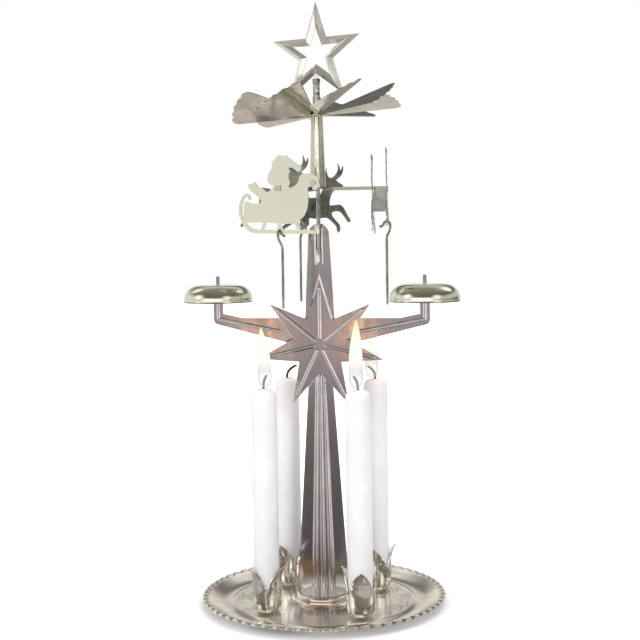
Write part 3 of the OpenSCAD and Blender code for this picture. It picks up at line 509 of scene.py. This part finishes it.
def bell(node_name, body):
    """Dish with a flat crown, a round shoulder and a short upright lip."""
    low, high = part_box(node_name)
    middle = ((low[0] + high[0]) / 2, (low[1] + high[1]) / 2, low[2])
    outer_r, tall = (high[0] - low[0]) / 2 / MM, (high[2] - low[2]) / MM
    round_r, lip = outer_r * SHOULDER_SHARE, tall * LIP_SHARE
    crown_r, shoulder_top = outer_r - BELL_LIP_STEP - round_r, tall - CROWN_DROP
    rings = [(BELL_HOLE_R, tall), (crown_r * 0.35, tall), (crown_r * 0.7, tall - 0.02),
        (crown_r * 0.9, shoulder_top)]
    for step in range(SHOULDER_STEPS + 1):
        turn = math.radians(90 - 90 / SHOULDER_STEPS * step)
        rings.append((crown_r + round_r * math.cos(turn),
            lip + (shoulder_top - lip) * math.sin(turn)))
    rings += [(outer_r - 0.2, lip * 0.7), (outer_r - 0.1, lip * 0.35), (outer_r - 0.02, 0.06),
        (outer_r - 0.1, 0.0)]
    piece = draw_sheet(node_name + "_dish", BELL_SEGMENTS, rings)
    bpy.ops.transform.translate(value=middle)
    close_edit()
    thicken(piece, BELL_SHEET)
    smooth(piece, 40)
    dress(piece, BELL_PLATE, body, [node_name])


# Relief on the pylon's slot


# Each bead's x, y, radius, foot and top in mm: the slot's two rolled edges, then the pinched
# ridges on its upper and lower loop
BEADS = (
    (1.72, -0.4, 0.5, 171.0, 188.6),
    (-1.72, -0.4, 0.5, 171.0, 188.6),
    (-0.1, -1.45, 0.85, 186.3, 190.0),
    (-0.3, -1.35, 1.15, 172.0, 176.0),
)
BEAD_END_SHARE, BEAD_END_BACK, BEAD_END_RISE = 0.6, 0.1 * MM, 0.5


def slot_beads():
    """Rolled edges of the slot that the needle stands in, and the two ridges on its loops."""
    beads = []
    for x, y, radius, low_z, high_z in BEADS:
        middle_z = (high_z + low_z) / 2 * MM
        deselect_all()
        bpy.ops.mesh.primitive_cylinder_add(vertices=24, radius=radius * MM,
            depth=(high_z - low_z) * MM, location=(x * MM, y * MM, middle_z))
        bead = start_piece("slot_beads")
        for side in (1, -1):
            pick(bead, lambda co: (co.z - middle_z) * side > 0)
            bpy.ops.mesh.extrude_region()
            bpy.ops.transform.resize(value=(BEAD_END_SHARE, BEAD_END_SHARE, 1.0),
                center_override=(x * MM, y * MM, 0))
            bpy.ops.transform.translate(value=(0, BEAD_END_BACK, BEAD_END_RISE * side * MM))
        face_outwards()
        close_edit()
        beads.append(bead)
    only(beads[0])
    for bead in beads:
        bead.select_set(True)
    bpy.ops.object.join()
    smooth(beads[0], 50)
    # The beads wear the whiter copy of the plating, a painted highlight along the slot's edges
    dress(beads[0], HIGHLIGHT_EDGE_PLATE, "stand")


tray()
slot_beads()
bell("bell_left", "bell_left_body")
bell("bell_right", "bell_right_body")


# Flames


FLAME_FOOT_Z, FLAME_TIP_Z = 0.108, 0.146
FLAME_STOPS = ((0.0, (0.5, 0.5, 0.49, 1.0)), (0.3, (0.58, 0.58, 0.55, 1.0)),
    (0.48, (1.0, 0.97, 0.88, 1.0)), (0.78, (1.0, 0.93, 0.72, 1.0)), (1.0, (1.0, 0.74, 0.34, 1.0)))
FLAME_RINGS = ((1.6, 0.0), (2.5, 0.8), (3.1, 2.2), (3.5, 4.5), (3.6, 7.5), (3.5, 11.0),
    (3.3, 14.5), (3.1, 18.0), (2.8, 21.5), (2.35, 25.0), (1.8, 28.0), (1.15, 31.0),
    (0.5, 33.5), (0.15, 34.5))
FLAME_TALL = 34.5
FLAME_SINK = 6.0 * MM
FLAME_GLOW = 1.15
# The lamp inside each flame
LAMP_RISE, LAMP_RADIUS = 20 * MM, 4 * MM
LAMP_POWER, LAMP_COLOUR = 0.02, (1.0, 0.5, 0.2)


def flame_light(name):
    """Clear blue-grey foot, white body and a yellow edge, a little uneven."""
    made = Recipe(name)
    flicker = made.noise(160.0, 2.0, made.stretched((1.0, 1.0, 0.3)))
    uneven = made.times(made.calc("SUBTRACT", flicker, 0.5), 0.006)
    rise = made.span(made.calc("ADD", made.axes()[2], uneven), FLAME_FOOT_Z, FLAME_TIP_Z)
    edge = made.node("ShaderNodeLayerWeight", [("Blend", 0.4)]).outputs["Facing"]
    edge_share = made.times(made.span(edge, 0.3, 0.9), made.span(rise, 0.35, 0.6, 0.0, 0.9))
    tint = made.blend(edge_share, made.ramp(rise, FLAME_STOPS), (1.0, 0.72, 0.3, 1.0))
    clear = made.node("ShaderNodeBsdfTransparent").outputs[0]

    # The body covers what is behind it; the foot does so only at its edge
    body = made.span(edge, 0.6, 1.0, 1.0, 0.45)
    shell = made.span(edge, 0.1, 0.9, 0.4, 0.9)
    up = made.span(rise, 0.22, 0.5)
    cover = made.calc("ADD", made.times(body, up),
        made.times(shell, made.calc("SUBTRACT", 1.0, up)))
    mirrored = made.node("ShaderNodeLightPath").outputs["Is Glossy Ray"]
    cover = made.times(cover, made.span(mirrored, 0.0, 1.0, 1.0, 0.12))
    made.surface(made.mixed(cover, clear, made.glow(tint, FLAME_GLOW)))
    return made.material


def flame(name, wick_node, body, lean, grow):
    """A small disc drawn up ring by ring into a pointed flame round its wick, with its lamp."""
    low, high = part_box(wick_node)
    foot = Vector(((low[0] + high[0]) / 2, (low[1] + high[1]) / 2, high[2] - FLAME_SINK))
    deselect_all()
    bpy.ops.mesh.primitive_circle_add(vertices=32, radius=FLAME_RINGS[0][0] * MM,
        fill_type="NGON")
    piece = start_piece(name)
    draw_through(FLAME_RINGS, lambda height: lean * (height / FLAME_TALL) ** 2, grow)
    face_outwards()
    bpy.ops.transform.translate(value=foot)
    close_edit()
    smooth(piece, 80)
    dress(piece, FLAME_LIGHT, body)
    deselect_all()
    bpy.ops.object.light_add(type="POINT", location=foot + Vector((0, 0, LAMP_RISE)))
    lamp = bpy.context.object
    lamp.name = name + "_light"
    lamp.data.energy = LAMP_POWER
    lamp.data.color = LAMP_COLOUR
    lamp.data.shadow_soft_size = LAMP_RADIUS
    lamp.visible_glossy = False


FLAME_LIGHT = flame_light("flame_light")
flame("flame_front_left", "wick_front_left", "candle_front_left_body", -1.6 * MM, 0.84)
flame("flame_back_right", "wick_back_right", "candle_back_right_body", 0.0, 0.84)
flame("flame_front_right", "wick_front_right", "candle_front_right_body", 0.5 * MM, 0.95)


# Floor, studio and camera


def shaded(*stops):
    """Ramp stops with their colours written as the eye sees them."""
    return [(place, shade(*tone)) for place, tone in stops]


# What the metal mirrors of the floor, from 1.5 m in front (0) to 0.5 m behind (1)
MIRRORED_FLOOR = shaded((0.0, (180, 173, 176)), (0.25, (174, 166, 169)),
    (0.46, (138, 131, 134)), (0.63, (113, 106, 109)), (0.71, (97, 90, 92)),
    (0.735, (150, 138, 126)), (0.75, (242, 238, 228)), (1.0, (248, 245, 238)))
# A bearing is x over y in front of the axis. The floor's dark wedge lies on this one
DARK_BEARING = 0.27
# Two glowing streaks that stand for the flames' light: bearing and half width, and their reach
GLOWS = ((0.184, 0.024), (0.297, 0.028))
GLOW_BAND = (-2.9, -2.1, -1.45, -1.1)
BRIGHT_FLOOR, GLOW_FLOOR = (1.5, 1.46, 1.42, 1.0), (2.3, 1.15, 0.6, 1.0)

# What the metal mirrors of the walls, from straight down (0) to straight up (1)
LEFT_WALL = shaded((0.0, (200, 196, 188)), (0.46, (250, 249, 240)), (0.62, (255, 255, 248)),
    (0.7, (224, 223, 212)), (0.78, (128, 125, 114)), (1.0, (142, 138, 128)))
RIGHT_WALL = shaded((0.0, (130, 125, 122)), (0.44, (206, 200, 194)), (0.52, (80, 75, 70)),
    (0.57, (218, 216, 206)), (0.66, (222, 221, 208)), (0.76, (106, 103, 93)),
    (1.0, (142, 138, 128)))
REAR_WALL = shaded((0.0, (220, 218, 210)), (0.5, (238, 235, 228)), (0.65, (230, 226, 217)),
    (0.69, (110, 107, 104)), (0.75, (106, 104, 101)), (0.79, (178, 175, 168)),
    (0.84, (240, 239, 232)), (1.0, (150, 146, 136)))
FRONT_WALL = shaded((0.0, (112, 106, 109)), (0.44, (150, 143, 146)), (0.49, (178, 171, 174)),
    (0.515, (212, 211, 205)), (0.57, (250, 250, 244)), (0.62, (252, 251, 246)),
    (0.67, (128, 125, 114)), (0.76, (112, 109, 98)), (1.0, (146, 142, 131)))
# Windows that the metal mirrors: a low wide one in front by its height, and round ones by
# the ways that they lie, with their soft edge and their light
LOW_WINDOW, LOW_WINDOW_LIGHT = (0.55, 0.57, 0.6, 0.63), (1.0, 1.0, 0.97, 1.0)
WINDOWS = ((-0.67, 0.26, 0.69), (0.5, 0.5, 0.7), (-0.75, -0.5, 0.43), (0.7, -0.6, 0.38))
WINDOW_EDGE, WINDOW_LIGHT = (0.955, 0.985), (0.9, 0.9, 0.873, 1.0)
# What lights the object's dull parts
ROOM_LIGHT = (0.7, 0.7, 0.715, 1.0)

# Name, place, size and power of the lamps, and where they aim
SOFTBOXES = (
    ("left_softbox", (-0.75, -0.85, 0.75), (0.35, 0.5), 4.5),
    ("right_softbox", (0.6, -0.95, 0.55), (0.3, 0.4), 3.0),
    ("top_softbox", (0.1, 0.25, 1.1), (0.6, 0.6), 4.0),
)
SOFTBOX_AIM = Vector((0, 0, 0.13))

CAMERA_TURN, CAMERA_RISE, CAMERA_ROLL = 12.812, 3.79, -0.874
CAMERA_AIM = Vector((0, 0, 0.14289))
CAMERA_AWAY, CAMERA_ASIDE = 0.6059, 0.00003
PHOTO_WIDTH, FOCAL_LENGTH = 640, 1209.4
SENSOR_MM = 36.0


def studio_floor():
    """Pale floor with a soft shadow; mirrored, it is pale near the tray and dark in front."""
    deselect_all()
    bpy.ops.mesh.primitive_grid_add(x_subdivisions=8, y_subdivisions=8, size=6.0,
        location=(0, 0, 0))
    floor = bpy.context.object
    floor.name = "floor"
    made = Recipe("pale_floor")
    x, y, _ = made.axes()
    away = made.from_axis(x, y)
    straight, glossy = made.rays()
    made.set("Base Color", made.blend(made.span(made.noise(3.0), 0.3, 0.7),
        (0.84, 0.84, 0.84, 1.0), (0.82, 0.82, 0.82, 1.0)))
    made.set("Roughness", 0.8)
    made.set("Specular IOR Level", 0.1)
    diffuse = made.shader.outputs[0]

    # Seen straight, it fades into white, and its glow is weaker near the tray, a painted shadow
    # that adds to the real one
    lift = made.glow(WHITE, made.span(away, 0.062, 0.105, 0.16, 1.0))
    seen = made.node("ShaderNodeAddShader", [(0, diffuse), (1, lift)]).outputs[0]

    # Mirrored, it is a dark wedge between pale sides, with two glows and a dim ring of painted
    # shadow round the tray
    tone = made.ramp(made.span(y, -1.5, 0.5), MIRRORED_FLOOR)
    bearing = made.calc("DIVIDE", x, made.calc("MINIMUM", y, -0.001))
    slant = made.off(bearing, DARK_BEARING)
    tone = made.blend(made.span(slant, 0.13, 0.34), tone, shade(240, 234, 229))
    bright = made.times(made.span(slant, 0.45, 0.8), made.span(y, -0.32, -0.16, 1.0, 0.0))
    tone = made.blend(bright, tone, BRIGHT_FLOOR)
    in_front = made.band(y, *GLOW_BAND)
    for middle, reach in GLOWS:
        aside = made.off(bearing, middle)
        flame_glow_share = made.times(made.span(aside, 0.0, reach, 1.0, 0.0), in_front)
        tone = made.blend(flame_glow_share, tone, GLOW_FLOOR)
    dim = made.times(made.span(away, 0.062, 0.15, 0.8, 0.0),
        made.span(made.noise(60.0), 0.3, 0.7, 0.6, 1.0))
    tone = made.blend(dim, tone, shade(96, 96, 88))

    lit = made.mixed(glossy, diffuse, made.glow(tone, 1.0))
    made.surface(made.mixed(straight, lit, seen))
    floor.data.materials.append(made.material)


def studio_walls():
    """White behind the object; round the metal a studio with pale and dark walls."""
    world = bpy.data.worlds.new("studio_walls")
    bpy.context.scene.world = world
    world.use_nodes = True
    made = Graph(world.node_tree, "Generated")
    x, y, z = made.axes()
    height = made.span(z, -1.0, 1.0)
    wide = made.calc("ABSOLUTE", x)
    left, right, rear, front = [made.ramp(height, wall)
        for wall in (LEFT_WALL, RIGHT_WALL, REAR_WALL, FRONT_WALL)]
    sides = made.blend(made.span(x, -0.35, 0.45), left, right)
    ends = made.blend(made.span(y, -0.3, 0.3), front, rear)
    room = made.blend(made.span(wide, 0.35, 0.75), ends, sides)

    low_window = made.times(made.band(height, *LOW_WINDOW),
        made.span(wide, 0.4, 0.7, 1.0, 0.0), made.span(y, -0.2, 0.0, 1.0, 0.0))
    room = made.blend(low_window, room, LOW_WINDOW_LIGHT, "ADD")
    for way in WINDOWS:
        facing = made.node("ShaderNodeVectorMath", [(0, made.coords), (1, way)],
            operation="DOT_PRODUCT").outputs["Value"]
        room = made.blend(made.span(facing, *WINDOW_EDGE), room, WINDOW_LIGHT, "ADD")

    straight, glossy = made.rays()
    lit = made.blend(glossy, ROOM_LIGHT, room)
    back = made.tree.nodes["Background"]
    made.feed(back.inputs["Color"], made.blend(straight, lit, WHITE))
    back.inputs["Strength"].default_value = 1.0


def softbox(name, place, size, energy):
    """A lamp that lights the object but isn't mirrored in it."""
    deselect_all()
    bpy.ops.object.light_add(type="AREA", location=place)
    lamp = bpy.context.object
    lamp.name = name
    lamp.data.shape = "RECTANGLE"
    lamp.data.size, lamp.data.size_y = size
    lamp.data.energy = energy
    lamp.visible_glossy = False
    lamp.rotation_mode = "QUATERNION"
    lamp.rotation_quaternion = (SOFTBOX_AIM - Vector(place)).to_track_quat("-Z", "Y")


def camera_at_photo_angle():
    """Camera with the place, turn and lens that fit the photo."""
    turn, rise, roll = [math.radians(a) for a in (CAMERA_TURN, CAMERA_RISE, CAMERA_ROLL)]
    back = Vector((math.sin(turn) * math.cos(rise), -math.cos(turn) * math.cos(rise),
        math.sin(rise)))
    right = Vector((math.cos(turn), math.sin(turn), 0.0))
    deselect_all()
    bpy.ops.object.camera_add(location=CAMERA_AIM + back * CAMERA_AWAY + right * CAMERA_ASIDE)
    camera = bpy.context.object
    camera.rotation_mode = "QUATERNION"
    level = (-back).to_track_quat("-Z", "Y")
    camera.rotation_quaternion = level @ Quaternion((0, 0, 1), roll)
    camera.data.sensor_width = SENSOR_MM
    camera.data.lens = FOCAL_LENGTH / PHOTO_WIDTH * SENSOR_MM
    camera.data.clip_start = 0.01
    bpy.context.scene.camera = camera


studio_floor()
studio_walls()
for settings in SOFTBOXES:
    softbox(*settings)
camera_at_photo_angle()
bpy.context.scene.view_settings.view_transform = "Standard"
